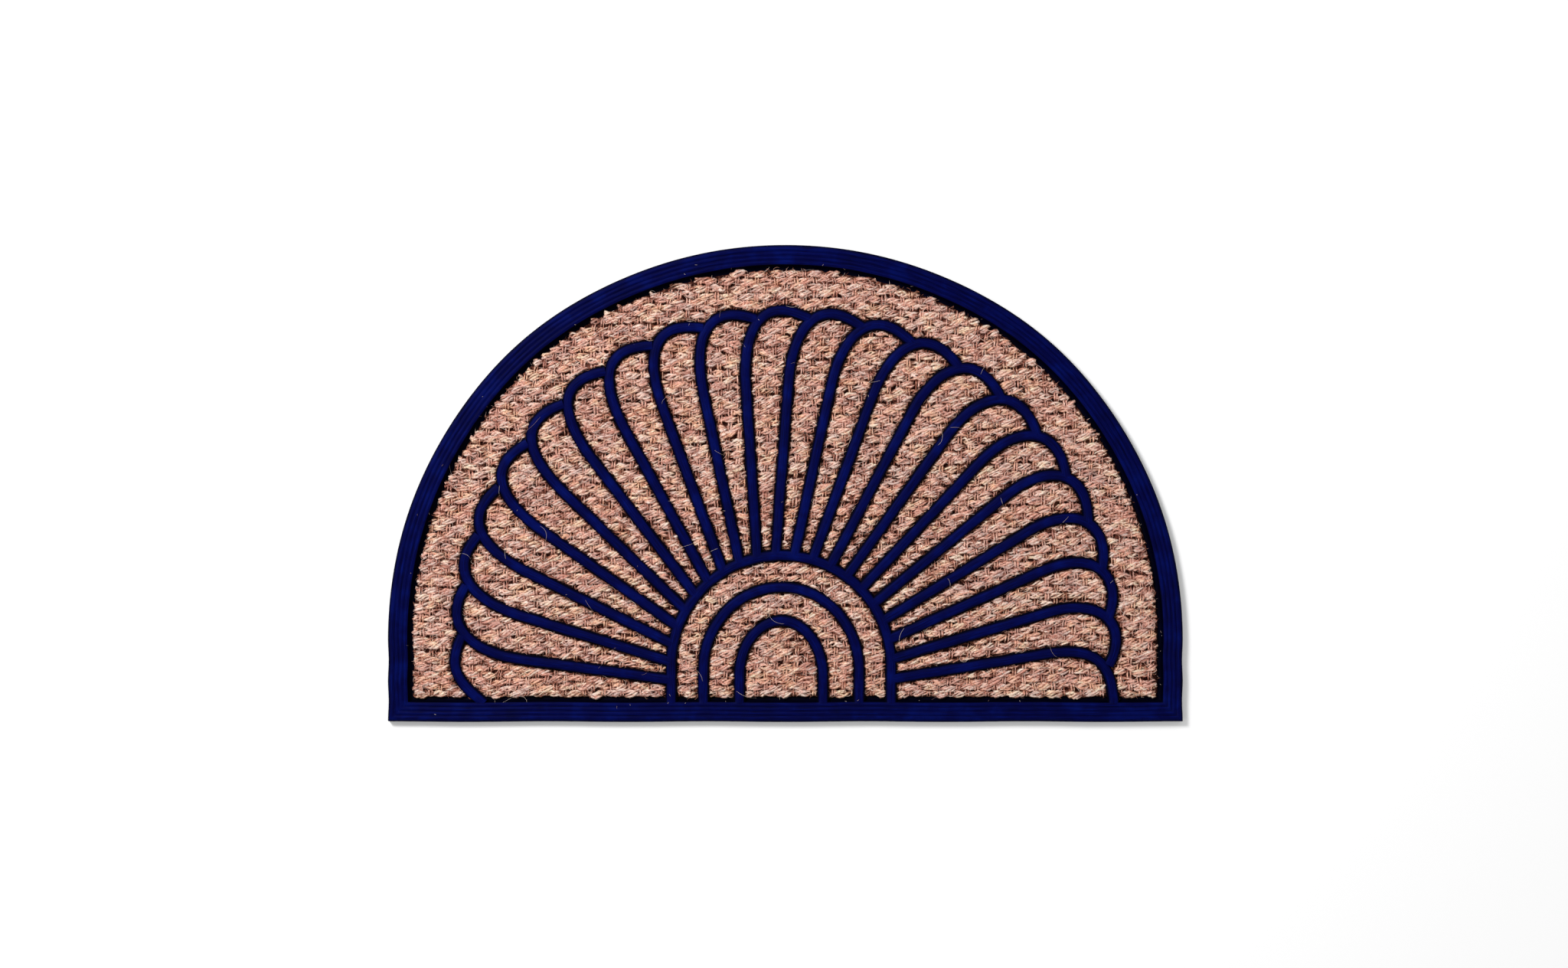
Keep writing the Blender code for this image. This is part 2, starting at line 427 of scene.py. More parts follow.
    def _arch_line(self, arch: Arch) -> np.ndarray:
        """The centreline of an arch, from the border up and round to the border again.

        Args:
            arch: The arch to follow.

        Returns:
            Its plan points, from its right foot over to its left one.
        """
        steps = round(math.pi * (arch.half_width + arch.rise) / 2 / self.step_length)
        crown = [arch.crown(180 * step / steps) for step in range(steps + 1)]
        right, left = arch.middle + arch.half_width, arch.middle - arch.half_width
        legs = np.linspace(self.end_inset, arch.leg, 6, endpoint=False)
        up = [(right, y) for y in legs]
        down = [(left, y) for y in legs[::-1]]
        return np.array([*up, *crown, *down])


class Solver(Enum):
    """How solids are joined."""

    FAST = "MANIFOLD"


def loft(
    name: str, rings: list[np.ndarray], along: np.ndarray, across: np.ndarray
) -> bpy.types.Object:
    """A closed solid that runs through rings of points, with a UV map that follows it.

    Args:
        name: The object's name.
        rings: Rings of points with the same count, from one end to the other.
        along: For each ring and point, its distance along the run, in metres.
        across: For each ring and point, its distance across the run, in metres.

    Returns:
        The new object.
    """
    shape = bmesh.new()
    run = shape.verts.layers.float.new("along")
    side = shape.verts.layers.float.new("across")
    face = shape.faces.new([shape.verts.new(point) for point in rings[0]])
    for number, ring in enumerate(rings):
        if number:
            face = bmesh.ops.extrude_discrete_faces(shape, faces=[face])["faces"][0]
        for index, (vertex, point) in enumerate(zip(face.verts, ring)):
            vertex.co = point
            vertex[run] = along[number][index]
            vertex[side] = across[number][index]
    ends = [edge for edge in shape.edges if edge.is_boundary]
    bmesh.ops.holes_fill(shape, edges=ends, sides=0)
    bmesh.ops.recalc_face_normals(shape, faces=shape.faces)
    surface = shape.loops.layers.uv.new("run")
    for part in shape.faces:
        part.smooth = True
        for loop in part.loops:
            loop[surface].uv = (loop.vert[run], loop.vert[side])
    return mesh_object(name, shape)


@dataclass
class RubberMoulding:
    """The backing, the fluted border and the ribs, in one moulding."""

    edge: EdgePlan
    fan: FanPlan
    backing_top: float = 0.0020
    outer_profile: tuple[tuple[float, float], ...] = (
        (0.0015, 0.0),
        (0.0004, 0.0004),
        (0.0, 0.0015),
        (0.0, 0.0072),
        (0.0003, 0.0082),
        (0.0010, 0.0088),
    )
    flute_valley: float = 0.0091
    flute_crest: float = 0.0100
    flute_start: float = 0.0018
    flute_pitch: float = 0.0042
    flute_count: int = 4
    flute_steps: int = 8
    flute_fullness: float = 0.7
    border_width: float = 0.0230
    slope_steps: int = 5
    rib_foot: float = 0.0046
    rib_top: float = 0.0099
    rib_shoulder: float = 0.0074
    rib_half_width: float = 0.0048
    rib_roundness: float = 2.3
    rib_steps: int = 10
    flash_half_width: float = 0.0057
    flash_top: float = 0.0055
    flash_slope: tuple[float, float] = (-0.0003, 0.0002)
    flash_wander: float = 0.0007
    flash_length: float = 0.0050
    wander: float = 0.00022
    wander_length: float = 0.018
    border_waves: float = 30.0
    flute_waves: float = 150.0
    even_below: float = 0.006
    sharp_angle: float = 38.0
    solver: Solver = Solver.FAST

    def build(self) -> bpy.types.Object:
        """Models the moulding and returns its object.

        Returns:
            The moulding's object, with its modifiers applied.
        """
        tray = self._tray()
        ribs = [self._rib(number, line) for number, line in enumerate(self.fan.lines())]
        for rib in ribs:
            union = tray.modifiers.new(rib.name, "BOOLEAN")
            union.operation = "UNION"
            union.object = rib
            union.solver = self.solver.value
        bake_modifiers(tray)
        for rib in ribs:
            bpy.data.objects.remove(rib)
        tray.data.shade_smooth()
        tray.data.set_sharp_from_angle(angle=math.radians(self.sharp_angle))
        LOG.info("rubber moulding: %d ribs joined to the border", len(ribs))
        return tray

    def _border_steps(self) -> list[tuple[float, float]]:
        """Inset and height of each line of the border, from the underside to the pocket.

        Returns:
            Pairs of an inset and a height.
        """
        steps = list(self.outer_profile)
        depth = self.flute_crest - self.flute_valley
        for step in range(self.flute_count * self.flute_steps + 1):
            share = step / self.flute_steps
            lift = 0.5 - 0.5 * math.cos(2 * math.pi * share)
            inset = self.flute_start + share * self.flute_pitch
            steps.append((inset, self.flute_valley + depth * lift**self.flute_fullness))
        top_inset, top = steps[-1]
        for step in range(1, self.slope_steps + 1):
            turn = step / self.slope_steps * math.pi / 2
            inset = top_inset + (self.border_width - top_inset) * (1 - math.cos(turn))
            height = top - (top - self.backing_top) * math.sin(turn)
            steps.append((inset, height))
        return steps

    def _tray(self) -> bpy.types.Object:
        """The border and the backing, with the pocket that holds the coir.

        Returns:
            The tray's object, before the ribs are joined to it.
        """
        steps = self._border_steps()
        length = travelled(self.edge.ring(0.0))
        rings, along, across = [], [], []
        girth = 0.0
        for number, (inset, height) in enumerate(steps):
            if number:
                girth += math.dist(steps[number - 1], (inset, height))
            plan = self.edge.ring(inset)
            seeds = np.column_stack([plan * self.border_waves, [inset * self.flute_waves] * len(plan)])
            uneven = np.array([noise.noise(seed) for seed in seeds])
            lift = uneven * self.wander * (height > self.even_below)
            heights = np.minimum(height + lift, self.flute_crest)
            rings.append(np.column_stack([plan, heights]))
            along.append(length)
            across.append(np.full(len(plan), girth))
        return loft("rubber_border_and_ribs", rings, np.array(along), np.array(across))

    def _rib_section(self) -> tuple[np.ndarray, np.ndarray]:
        """Offset and height of each corner of a rib's section, from its right foot over.

        Returns:
            The offsets across the rib and the heights, corner by corner.
        """
        turn = np.linspace(0, math.pi, self.rib_steps + 1)
        power = 2 / self.rib_roundness
        offset = np.sign(np.cos(turn)) * np.abs(np.cos(turn)) ** power
        lift = np.abs(np.sin(turn)) ** power
        offset = offset * self.rib_half_width
        heights = self.rib_shoulder + (self.rib_top - self.rib_shoulder) * lift
        flash = np.array((self.flash_half_width, self.flash_half_width, self.rib_half_width))
        low, high = self.flash_slope
        rise = np.array((self.rib_foot, self.flash_top + low, self.flash_top + high))
        offset = np.concatenate([flash, offset, -flash[::-1]])
        return offset, np.concatenate([rise, heights, rise[::-1]])

    def _rib(self, number: int, line: np.ndarray) -> bpy.types.Object:
        """One rib, swept along its centreline with a slightly uneven width.

        Args:
            number: The rib's place in the fan's list, which also seeds its unevenness.
            line: Its centreline in plan.

        Returns:
            The rib's object.
        """
        offset, height = self._rib_section()
        way = np.gradient(line, axis=0)
        way /= np.linalg.norm(way, axis=1, keepdims=True)
        right = np.stack([way[:, 1], -way[:, 0]], axis=1)
        length = travelled(line)
        run = np.hypot(np.diff(offset), np.diff(height))
        girth = np.concatenate([[0.0], np.cumsum(run)]) + number * 0.1
        rings, along, across = [], [], []
        for index, point in enumerate(line):
            place = length[index] / self.wander_length
            uneven = noise.noise((place, number * 7.3, 0.5)) * self.wander
            side = noise.noise((place, number * 7.3, 9.5)) * self.wander
            spread = offset * (1 + uneven / self.rib_half_width) + side
            for edge, seed in ((slice(0, 2), 2.5), (slice(-2, None), 6.5)):
                ragged = noise.noise((length[index] / self.flash_length, number * 3.7, seed))
                spread[edge] *= 1 + ragged * self.flash_wander / self.flash_half_width
            plan = point + right[index] * spread[:, None]
            rings.append(np.column_stack([plan, height]))
            along.append(np.full(len(offset), length[index]))
            across.append(girth)
        return loft(f"rib_{number:02d}", rings, np.array(along), np.array(across))


def bake_modifiers(piece: bpy.types.Object) -> None:
    """Replaces a piece's mesh by what its modifiers make of it, and clears them.

    Args:
        piece: The object to change.
    """
    graph = bpy.context.evaluated_depsgraph_get()
    mesh = bpy.data.meshes.new_from_object(piece.evaluated_get(graph), depsgraph=graph)
    piece.modifiers.clear()
    piece.data = mesh


@dataclass
class Strand:
    """One yarn or fibre: its points, how thick it is at each, and its shade from 0 to 1."""

    points: np.ndarray
    thickness: np.ndarray
    tone: float = 0.5


def spin_strands(
    name: str, strands: list[Strand], half_width: float, half_height: float, sides: int
) -> bpy.types.Object:
    """Makes one mesh of many strands with the same oval section.

    Args:
        name: The object's name.
        strands: The strands, with thickness as a share of the section.
        half_width: Half the section's width, level.
        half_height: Half the section's height.
        sides: The corners of the section.

    Returns:
        The new mesh object, with closed ends.
    """
    oval = bpy.data.curves.new(f"{name}_section", "CURVE")
    corners = oval.splines.new("POLY")
    corners.points.add(sides - 1)
    for number, corner in enumerate(corners.points):
        turn = 2 * math.pi * number / sides + math.pi / 2
        corner.co = (half_width * math.cos(turn), half_height * math.sin(turn), 0, 1)
    corners.use_cyclic_u = True
    section = show(f"{name}_section", oval)

    curve = bpy.data.curves.new(name, "CURVE")
    curve.dimensions = "3D"
    curve.twist_mode = "Z_UP"
    curve.bevel_mode = "OBJECT"
    curve.bevel_object = section
    for strand in strands:
        spline = curve.splines.new("POLY")
        spline.points.add(len(strand.points) - 1)
        places = np.column_stack([strand.points, np.ones(len(strand.points))])
        spline.points.foreach_set("co", places.ravel())
        spline.points.foreach_set("radius", strand.thickness)
    guide = show(name, curve)
    bpy.context.view_layer.update()
    graph = bpy.context.evaluated_depsgraph_get()
    mesh = bpy.data.meshes.new_from_object(guide.evaluated_get(graph), depsgraph=graph)
    bpy.data.objects.remove(guide)
    bpy.data.objects.remove(section)
    tubes = bmesh.new()
    tubes.from_mesh(mesh)
    ends = [edge for edge in tubes.edges if edge.is_boundary]
    bmesh.ops.holes_fill(tubes, edges=ends, sides=0)
    bmesh.ops.recalc_face_normals(tubes, faces=tubes.faces)
    tubes.to_mesh(mesh)
    tubes.free()
    mesh.shade_smooth()
    tones = mesh.attributes.new("tone", "FLOAT", "POINT")
    shares = [np.full(len(strand.points) * sides, strand.tone) for strand in strands]
    tones.data.foreach_set("value", np.concatenate(shares))
    return show(name, mesh)


def get_points(piece: bpy.types.Object) -> np.ndarray:
    """A piece's vertices as an array, one a row.

    Args:
        piece: A mesh object.

    Returns:
        Its points in its own coordinates.
    """
    flat = np.empty(len(piece.data.vertices) * 3)
    piece.data.vertices.foreach_get("co", flat)
    return flat.reshape(-1, 3)


def set_points(piece: bpy.types.Object, points: np.ndarray) -> None:
    """Moves a piece's vertices to these places."""
    piece.data.vertices.foreach_set("co", points.ravel())
    piece.data.update()


@dataclass
class CoirWeave:
    """The woven coir: thick weft rows over and under thin warp pairs."""

    edge: EdgePlan
    fan: FanPlan
    row_pitch: float = 0.0066
    warp_pitch: float = 0.0092
    first_row: float = 0.0268
    yarn_inset: float = 0.0240
    middle: float = 0.0051
    weft_swing: float = 0.0012
    float_bias: float = 0.35
    plies: int = 4
    twist_length: float = 0.024
    twist_width: float = 0.0025
    twist_height: float = 0.0007
    ply_half_width: float = 0.00165
    ply_half_height: float = 0.00120
    ply_sides: int = 3
    ply_step: float = 0.0029
    ply_wander: float = 0.0009
    ply_wander_length: float = 0.011
    row_wander: float = 0.0017
    row_wander_length: float = 0.024
    under_thickness: float = 0.80
    warp_half_width: float = 0.00105
    warp_half_height: float = 0.00085
    warp_spread: float = 0.0026
    warp_low: float = 0.0040
    warp_high: float = 0.0062
    warp_shade: float = 0.35
    warp_sides: int = 3
    warp_steps: int = 3
    skew: float = 0.0020
    skew_length: float = 0.06
    lumps: float = 0.00060
    lump_length: float = 0.0022
    underside: float = 0.0023
    pressed_top: float = 0.0049
    full_top: float = 0.0082
    pressed_width: float = 0.0059
    risen_width: float = 0.0078
    pieces_each: int = 2
    seed: int = 11
    bed_cell: float = 0.0070
    bed_top: float = 0.0038
    bed_thickness: float = 0.0011
    shortest_row: float = 0.02
    ragged_ends: tuple[float, float] = (-0.0011, 0.0009)
    float_sharpness: float = 1.6
    swell_rise: float = 0.6
    ply_rise: float = 0.0004
    ply_swell: float = 0.25
    row_swell: float = 0.12
    warp_wobble: float = 0.0014
    warp_rise: float = 0.0003
    warp_swell: float = 0.5
    edge_drop: float = 0.20
    edge_reach: float = 0.004
    bed_rough: float = 0.0004
    random: np.random.Generator = field(init=False)

    def __post_init__(self) -> None:
        """Seeds the weave's own random numbers and the noise that lumps its yarns."""
        self.random = np.random.default_rng(self.seed)
        noise.seed_set(self.seed)

    def build_weft(self) -> list[bpy.types.Object]:
        """Models the weft rows, split between pieces from the bottom up.

        Returns:
            The pieces, pressed into place.
        """
        rows, number = [], 0
        y = self.first_row - self.edge.depth / 2
        while True:
            span = self.edge.span_along(0, y, self.yarn_inset)
            if span is None and y > 0:
                break
            if span and span[1] - span[0] > self.shortest_row:
                rows += [self._ply(number, ply, y, span) for ply in range(self.plies)]
            number += 1
            y += self.row_pitch
        section = (self.ply_half_width, self.ply_half_height, self.ply_sides)
        return self._pieces("coir_weft", rows, section)

    def build_warp(self) -> list[bpy.types.Object]:
        """Models the warp pairs, split between pieces from left to right.

        Returns:
            The pieces, pressed into place.
        """
        ends = []
        columns = int(self.edge.width / 2 / self.warp_pitch)
        for column in range(-columns, columns + 1):
            for side in (-0.5, 0.5):
                x = column * self.warp_pitch + side * self.warp_spread
                span = self.edge.span_along(1, x, self.yarn_inset + 0.0005)
                if span and abs(x) < self.edge.width / 2 - self.yarn_inset - 0.001:
                    ends.append(self._warp_end(column, x, span))
        section = (self.warp_half_width, self.warp_half_height, self.warp_sides)
        return self._pieces("coir_warp", ends, section)

    def _ply(self, number: int, ply: int, y: float, span: tuple[float, float]) -> Strand:
        """One ply of a weft yarn, which floats over every other warp pair.

        Args:
            number: The row, from the straight edge up.
            ply: The ply of the row's yarn.
            y: The row's place.
            span: Where the row starts and ends.

        Returns:
            The ply, which wanders within its yarn.
        """
        ragged = self.random.uniform(*self.ragged_ends, 2)
        x = np.arange(span[0] - ragged[0], span[1] + ragged[1], self.ply_step)
        wave = np.cos(math.pi * (x / self.warp_pitch + number)) + self.float_bias
        lift = np.tanh(self.float_sharpness * wave) / math.tanh(self.float_sharpness)
        tight = self.under_thickness + (1 - self.under_thickness) * (0.5 + 0.5 * lift)
        own = number * 3.1 + ply * 11.7
        side = self._drift(x / self.ply_wander_length, own, 0.0)
        rise = self._drift(x / self.ply_wander_length, own, 5.0)
        swell = self._drift(x / self.warp_pitch, number * 3.1, 9.0)
        sway = self._drift(x / self.row_wander_length, number * 0.8, 3.0)
        turn = 2 * math.pi * (ply / self.plies - x / self.twist_length) + number * 2.4 + side
        shift = self.twist_width * np.cos(turn) * tight + side * self.ply_wander
        z = self.middle + self.weft_swing * (lift + self.swell_rise * swell)
        z += self.twist_height * np.sin(turn) + self.ply_rise * rise
        thickness = tight * (1 + self.ply_swell * rise + self.row_swell * swell)
        tone = float(self.random.uniform(0, 1))
        points = np.column_stack([x, y + shift + self.row_wander * sway, z])
        return Strand(points, thickness, tone)

    def _drift(self, places: np.ndarray, lane: float, layer: float) -> np.ndarray:
        """Smooth unevenness along a yarn, mostly between -1 and 1."""
        return np.array([noise.noise((place, lane, layer)) for place in places]) * 2

    def _warp_end(self, column: int, x: float, span: tuple[float, float]) -> Strand:
        """One warp yarn, which rises over the weft where the weft dips.

        Args:
            column: The pair that the yarn belongs to.
            x: The yarn's place.
            span: Where it starts and ends.

        Returns:
            The yarn.
        """
        y = np.arange(span[0], span[1], self.row_pitch / self.warp_steps)
        rows = (y + self.edge.depth / 2 - self.first_row) / self.row_pitch
        wave = -np.cos(math.pi * (rows + column))
        centre = (self.warp_high + self.warp_low) / 2
        swing = (self.warp_high - self.warp_low) / 2
        uneven = np.array([noise.noise((column * 2.3, py * 60, x * 90)) for py in y])
        z = centre + swing * wave + self.warp_rise * uneven
        tone = float(self.random.uniform(0, self.warp_shade))
        points = np.column_stack([x + self.warp_wobble * uneven, y, z])
        return Strand(points, 1 + self.warp_swell * uneven, tone)

    def _pieces(
        self, name: str, strands: list[Strand], section: tuple[float, float, int]
    ) -> list[bpy.types.Object]:
        """Shares strands between pieces and presses each piece into place.

        Args:
            name: What the pieces' names start with.
            strands: The yarns, in order.
            section: Half the yarn's width, half its height and its corners.

        Returns:
            The pieces.
        """
        sizes = np.cumsum([len(strand.points) for strand in strands])
        shares = [sizes[-1] * number / self.pieces_each for number in range(self.pieces_each)]
        cuts = [int(np.searchsorted(sizes, share)) for share in shares] + [len(strands)]
        pieces = []
        for number, (first, last) in enumerate(zip(cuts, cuts[1:])):
            piece = spin_strands(f"{name}_{number + 1}", strands[first:last], *section)
            points = self._lumpy(get_points(piece))
            set_points(piece, self.press(self._skewed(points)))
            pieces.append(piece)
            LOG.info("%s: %d strands", piece.name, last - first)
        return pieces

    def _lumpy(self, points: np.ndarray) -> np.ndarray:
        """Gives yarns the lumps of loosely spun fibre.

        Args:
            points: Points of the weave, one a row.

        Returns:
            The moved points.
        """
        across = 1 / self.lump_length
        places = points * (across * 0.5, across, across)
        moves = np.array([noise.noise_vector(Vector(place)) for place in places])
        return points + moves * self.lumps

    def _skewed(self, points: np.ndarray) -> np.ndarray:
        """Lets rows and columns drift a little, as hand-fed weaving does.

        Args:
            points: Points of the weave, one a row.

        Returns:
            The moved points, which stay put beside the border.
        """
        plan = points[:, :2] / self.skew_length
        shift = np.column_stack(
            [
                np.sin(2.1 * plan[:, 1] + 1.3 * np.sin(plan[:, 0])),
                np.sin(1.7 * plan[:, 0] + 0.9 * np.sin(1.9 * plan[:, 1])),
                np.zeros(len(points)),
            ]
        )
        inset = self.edge.inset_of(points[:, :2])
        room = smooth_step(self.yarn_inset, self.yarn_inset + 0.02, inset)
        return points + shift * self.skew * room[:, None]

    def press(self, points: np.ndarray) -> np.ndarray:
        """Presses points down under the ribs and towards the border.

        Args:
            points: Points of the weave, one a row.

        Returns:
            The points with their heights lowered where rubber lies over them.
        """
        away = nearest_distance(points[:, :2], self.fan.lines())
        inset = self.edge.inset_of(points[:, :2])
        least = (self.pressed_top - self.underside) / (self.full_top - self.underside)
        rise = least + (1 - least) * smooth_step(self.pressed_width, self.risen_width, away)
        inner = smooth_step(self.yarn_inset, self.yarn_inset + self.edge_reach, inset)
        rise *= 1 - self.edge_drop + self.edge_drop * inner
        pressed = points.copy()
        pressed[:, 2] = self.underside + (points[:, 2] - self.underside) * rise
        limit = np.where(away < self.pressed_width, self.pressed_top, self.full_top + 0.0008)
        pressed[:, 2] = np.clip(pressed[:, 2], self.underside, limit)
        return pressed

    def build_bed(self) -> bpy.types.Object:
        """Models the matted fibre that lies between the yarns, as one sheet.

        Returns:
            The bed's object.
        """
        inset = self.yarn_inset
        half = np.array((self.edge.width, self.edge.depth)) / 2 - inset
        shape = bmesh.new()
        bmesh.ops.create_grid(
            shape,
            x_segments=round(2 * half[0] / self.bed_cell),
            y_segments=round(2 * half[1] / self.bed_cell),
            size=1.0,
        )
        bmesh.ops.scale(shape, vec=(half[0], half[1], 1.0), verts=shape.verts)
        plan = np.array([vertex.co[:2] for vertex in shape.verts])
        outside = self.edge.inset_of(plan) < inset - self.bed_cell * 0.4
        gone = [vertex for vertex, out in zip(shape.verts, outside) if out]
        bmesh.ops.delete(shape, geom=gone, context="VERTS")
        for vertex in shape.verts:
            rough = noise.noise(vertex.co * 160)
            vertex.co.z = self.bed_top + self.bed_rough * rough
        self._trim(shape, inset)
        bed = mesh_object("coir_bed", shape)
        thickness = bed.modifiers.new("Thickness", "SOLIDIFY")
        thickness.thickness = self.bed_thickness
        thickness.offset = -1
        bake_modifiers(bed)
        bed.data.shade_smooth()
        LOG.info("coir bed: %d faces", len(bed.data.polygons))
        return bed

    def _trim(self, shape: bmesh.types.BMesh, inset: float) -> None:
        """Draws the open edge of the bed onto the ring at this inset.

        Args:
            shape: The bed while it is still one layer.
            inset: The ring's distance inside the mat's edge.
        """
        ring = self.edge.ring(inset)
        for vertex in shape.verts:
            if vertex.is_boundary:
                gaps = np.hypot(ring[:, 0] - vertex.co.x, ring[:, 1] - vertex.co.y)
                vertex.co.xy = ring[int(gaps.argmin())]

    def cloth_area(self) -> float:
        """The flat area of the cut coir, in square metres.

        Returns:
            The area inside the ring where the yarns end.
        """
        ring = self.edge.ring(self.yarn_inset)
        x, y = ring[:, 0], ring[:, 1]
        return float(abs(np.dot(x, np.roll(y, -1)) - np.dot(y, np.roll(x, -1))) / 2)


class FibreKind(Enum):
    """Where loose fibres lie."""

    FUZZ = "fuzz"
    FRINGE = "fringe"
    STRAY = "stray"
    SPECK = "speck"


@dataclass(frozen=True)
class FibreLot:
    """How one kind of loose fibre grows."""

    kind: FibreKind
    count: int
    shortest: float
    longest: float
    spread: float
    wild_share: float
    bend: float
    hop: float
    half_width: float
    steps: int
    pieces: int


@dataclass
class LooseFibres:
    """Coir fibres that have worked loose from the weave."""

    edge: EdgePlan
    fan: FanPlan
    under: BVHTree
    clear_of_rib: float = 0.0050
    clear_of_border: float = 0.0238
    fuzz_margin: tuple[float, float] = (0.001, 0.0004)
    fringe_band: tuple[float, float] = (0.0232, 0.0268)
    fringe_border: float = 0.0205
    stray_clear: tuple[float, float] = (0.021, 0.003)
    speck_clear: float = 0.001
    speck_reach: tuple[float, float] = (0.0215, 0.0035)
    speck_middle: float = 0.0205
    speck_falloff: float = 0.003
    speck_least: float = 0.05
    edge_margin: float = 0.002
    drop_height: float = 0.05
    bare_height: float = 0.004
    end_taper: float = 0.7
    seed: int = 5
    lots: tuple[FibreLot, ...] = (
        FibreLot(FibreKind.FUZZ, 15600, 0.005, 0.013, 42.0, 0.45, 210.0, 0.0005, 0.00019, 5, 3),
        FibreLot(FibreKind.FRINGE, 2000, 0.003, 0.007, 60.0, 0.6, 200.0, 0.0006, 0.00020, 3, 1),
        FibreLot(FibreKind.STRAY, 80, 0.010, 0.028, 90.0, 1.0, 70.0, 0.0008, 0.00012, 14, 1),
        FibreLot(FibreKind.SPECK, 150, 0.0008, 0.0026, 90.0, 1.0, 200.0, 0.0001, 0.00014, 3, 1),
    )
    random: np.random.Generator = field(init=False)

    def __post_init__(self) -> None:
        """Starts the fibres' own seeded random numbers."""
        self.random = np.random.default_rng(self.seed)

    def build(self) -> list[bpy.types.Object]:
        """Models every lot and returns its pieces.

        Returns:
            The pieces, lot by lot.
        """
        made = []
        for lot in self.lots:
            strands = self._lay(lot)
            for number in range(lot.pieces):
                share = strands[number :: lot.pieces]
                name = f"coir_{lot.kind.value}_{number + 1}"
                made.append(spin_strands(name, share, lot.half_width, lot.half_width, 3))
                LOG.info("%s: %d fibres", name, len(share))
        return made

    def _starts(self, lot: FibreLot) -> np.ndarray:
        """Random plan points where fibres of this lot have their middle.

        Args:
            lot: How the fibres grow.

        Returns:
            Up to as many plan points as the lot has fibres.
        """
        half = np.array((self.edge.width, self.edge.depth)) / 2
        points = self.random.uniform(-half, half, (lot.count * 9, 2))
        inset = self.edge.inset_of(points)
        away = nearest_distance(points, self.fan.lines())
        if lot.kind is FibreKind.FUZZ:
            wanted = inset > self.clear_of_border + self.fuzz_margin[0]
            wanted &= away > self.clear_of_rib + self.fuzz_margin[1]
        elif lot.kind is FibreKind.FRINGE:
            wanted = (inset > self.fringe_band[0]) & (inset < self.fringe_band[1])
            wanted &= away > self.clear_of_rib
        elif lot.kind is FibreKind.STRAY:
            wanted = (inset > self.stray_clear[0]) & (away > self.stray_clear[1])
        else:
            on_rubber = (inset < self.speck_reach[0]) | (away < self.speck_reach[1])
            wanted = (inset > self.speck_clear) & on_rubber
            near_pocket = np.exp(-np.abs(inset - self.speck_middle) / self.speck_falloff)
            near_pocket = near_pocket + self.speck_least
            wanted &= self.random.uniform(0, 1, len(points)) < near_pocket
        return points[wanted][: lot.count]

    def _lay(self, lot: FibreLot) -> list[Strand]:
        """Lays the fibres of a lot on what is under them.

        Args:
            lot: How the fibres grow.

        Returns:
            The fibres, without those that have too little room.
        """
        starts = self._starts(lot)
        count, steps = len(starts), lot.steps + 1
        angle = np.radians(self.random.normal(0, lot.spread, count))
        wild = self.random.uniform(0, 1, count) < lot.wild_share
        angle[wild] = self.random.uniform(0, math.pi, wild.sum())
        length = self.random.uniform(lot.shortest, lot.longest, count)
        bend = self.random.normal(0, lot.bend, count)
        curl = self.random.normal(0, lot.bend * 40, count)
        place = np.linspace(-0.5, 0.5, steps)
        run = length[:, None] * place
        turn = angle[:, None] + bend[:, None] * run + curl[:, None] * run**2
        step = (length / lot.steps)[:, None]
        axes = []
        for axis, wave in enumerate((np.cos, np.sin)):
            walk = starts[:, axis : axis + 1] + np.cumsum(wave(turn) * step, axis=1)
            axes.append(walk - wave(angle)[:, None] * length[:, None] / 2)
        plan = np.stack(axes, axis=2)
        kept = self._kept(lot, plan)
        strands = []
        for fibre, keep in zip(plan, kept):
            run_of = np.nonzero(keep)[0]
            if len(run_of) >= 3:
                strands.append(self._settle(lot, fibre[run_of[0] : run_of[-1] + 1]))
        return strands

    def _kept(self, lot: FibreLot, plan: np.ndarray) -> np.ndarray:
        """Which points of each fibre stay, as one unbroken stretch about its middle.

        Args:
            lot: How the fibres grow.
            plan: Plan points by fibre and step.

        Returns:
            True for each point that stays.
        """
        flat = plan.reshape(-1, 2)
        inset = self.edge.inset_of(flat).reshape(plan.shape[:2])
        if lot.kind in (FibreKind.STRAY, FibreKind.SPECK):
            return inset > self.edge_margin
        away = nearest_distance(flat, self.fan.lines()).reshape(plan.shape[:2])
        border = self.clear_of_border if lot.kind is FibreKind.FUZZ else self.fringe_border
        free = (away > self.clear_of_rib) & (inset > border)
        middle = plan.shape[1] // 2
        for index in range(middle + 1, plan.shape[1]):
            free[:, index] &= free[:, index - 1]
        for index in range(middle - 1, -1, -1):
            free[:, index] &= free[:, index + 1]
        return free

    def _settle(self, lot: FibreLot, plan: np.ndarray) -> Strand:
        """Rests one fibre on the surface, hopping a little over it.

        Args:
            lot: How the fibre grows.
            plan: The fibre's plan points.

        Returns:
            The fibre, thinner towards its ends.
        """
        heights = []
        for x, y in plan:
            hit = self.under.ray_cast(Vector((x, y, self.drop_height)), Vector((0, 0, -1)))[0]
            heights.append(hit.z if hit else self.bare_height)
        z = np.array(heights)
        if len(z) > 2:
            padded = np.pad(z, 1, mode="edge")
            z = np.maximum(z, (padded[:-2] + padded[1:-1] + padded[2:]) / 3)
        arch = np.sin(np.linspace(0, math.pi, len(z)))
        z = z + lot.half_width + lot.hop * arch * self.random.uniform(0, 1)
        taper = self.end_taper + (1 - self.end_taper) * arch
        tone = float(self.random.uniform(0, 1))
        return Strand(np.column_stack([plan, z]), taper, tone)


def surface_tree(pieces: list[bpy.types.Object]) -> BVHTree:
    """A search tree over the faces of several pieces.

    Args:
        pieces: The objects to search.

    Returns:
        The tree.
    """
    points: list[Vector] = []
    faces: list[tuple[int, ...]] = []
    for piece in pieces:
        first = len(points)
        points += [vertex.co for vertex in piece.data.vertices]
        faces += [tuple(first + v for v in face.vertices) for face in piece.data.polygons]
    return BVHTree.FromPolygons(points, faces)


